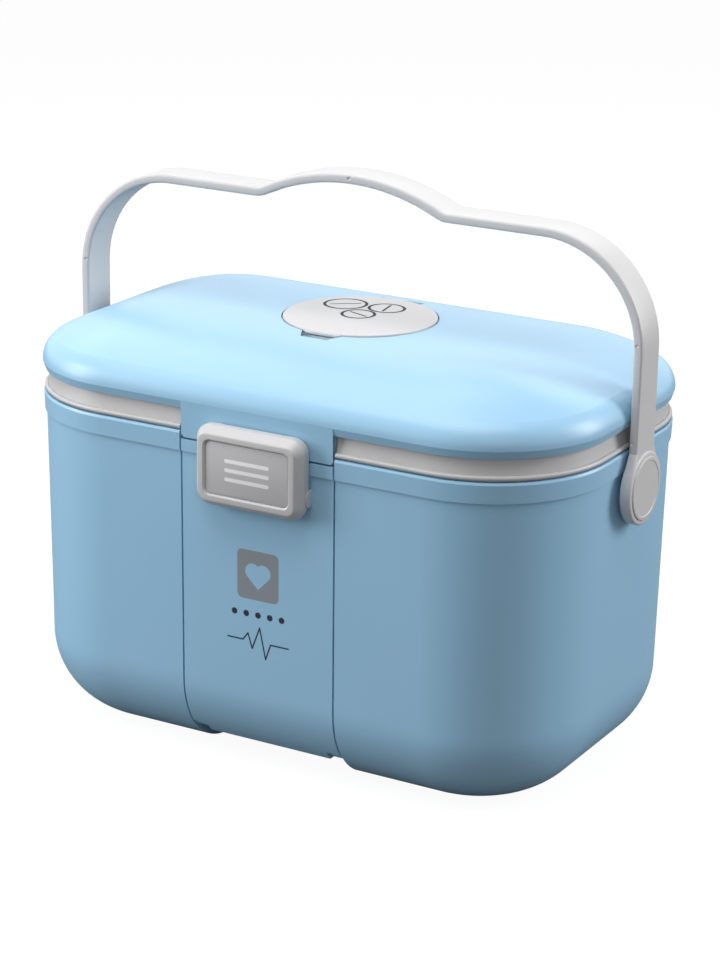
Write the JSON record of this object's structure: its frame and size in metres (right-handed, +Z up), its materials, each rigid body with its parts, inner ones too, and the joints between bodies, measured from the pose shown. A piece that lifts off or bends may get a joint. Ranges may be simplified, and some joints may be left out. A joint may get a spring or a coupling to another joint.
{
  "type": "medicine box",
  "caption": "Rounded plastic medicine box with a domed hinged lid, a round flip cover over a pill well, a drop-down front door, a rocker latch and a bail handle.",
  "frame": {"origin": "middle of the flat foot, on the plane of the table", "axes": "+X to the right seen from the front, +Y to the back, +Z up; the front with the door faces -Y"},
  "size_m": [0.3376, 0.214, 0.302],
  "materials": {
    "shell_blue": "pale blue injection-moulded plastic, satin gloss",
    "grip_grey": "light warm grey injection-moulded plastic, satin",
    "plate_grey": "mid grey moulded insert, fine matt",
    "tray_white": "milky white moulded plastic",
    "steel": "drawn steel wire and pressed steel"
  },
  "bodies": {
    "box": {"outer_shell": "shell_blue", "rim_frame": "grip_grey", "door_pin_left": "steel", "door_pin_right": "steel", "lid_pin_left": "steel", "lid_pin_right": "steel", "handle_washer_left": "steel", "handle_washer_right": "steel", "handle_screw_left": "steel", "handle_screw_right": "steel", "inner_tray": "tray_white", "tray_dividers": "tray_white"},
    "door": {"front_door": "shell_blue"},
    "latch": {"latch_body": "grip_grey", "latch_plate": "plate_grey", "latch_pin_left": "steel", "latch_pin_right": "steel"},
    "lid": {"lid_shell": "shell_blue", "pill_well": "grip_grey", "cover_pin": "steel"},
    "cover": {"well_cover": "grip_grey"},
    "handle": {"handle": "grip_grey", "handle_cap_left": "grip_grey", "handle_cap_right": "grip_grey"}
  },
  "joints": [
    {"name": "lid_open", "type": "hinge", "parent": "box", "child": "lid", "pos_m": [0, 0.101, 0.195], "axis": [-1, 0, 0], "range_deg": [0, 95]},
    {"name": "handle_swing", "type": "hinge", "parent": "box", "child": "handle", "pos_m": [0, 0, 0.1606], "axis": [-1, 0, 0], "range_deg": [0, 118.75]},
    {"name": "door_open", "type": "hinge", "parent": "box", "child": "door", "pos_m": [0, -0.0819, 0.01884], "axis": [1, 0, 0], "range_deg": [0, 80]},
    {"name": "latch_release", "type": "hinge", "parent": "door", "child": "latch", "pos_m": [0, -0.1039, 0.1651], "axis": [1, 0, 0], "range_deg": [0, 12], "stiffness_Nm_per_rad": 0.06},
    {"name": "cover_open", "type": "hinge", "parent": "lid", "child": "cover", "pos_m": [0, 0.0465, 0.2217], "axis": [-1, 0, 0], "range_deg": [0, 95]}
  ],
  "couplings": [
    {"joint": "handle_swing", "follows": "lid_open", "ratio": 1.25}
  ]
}
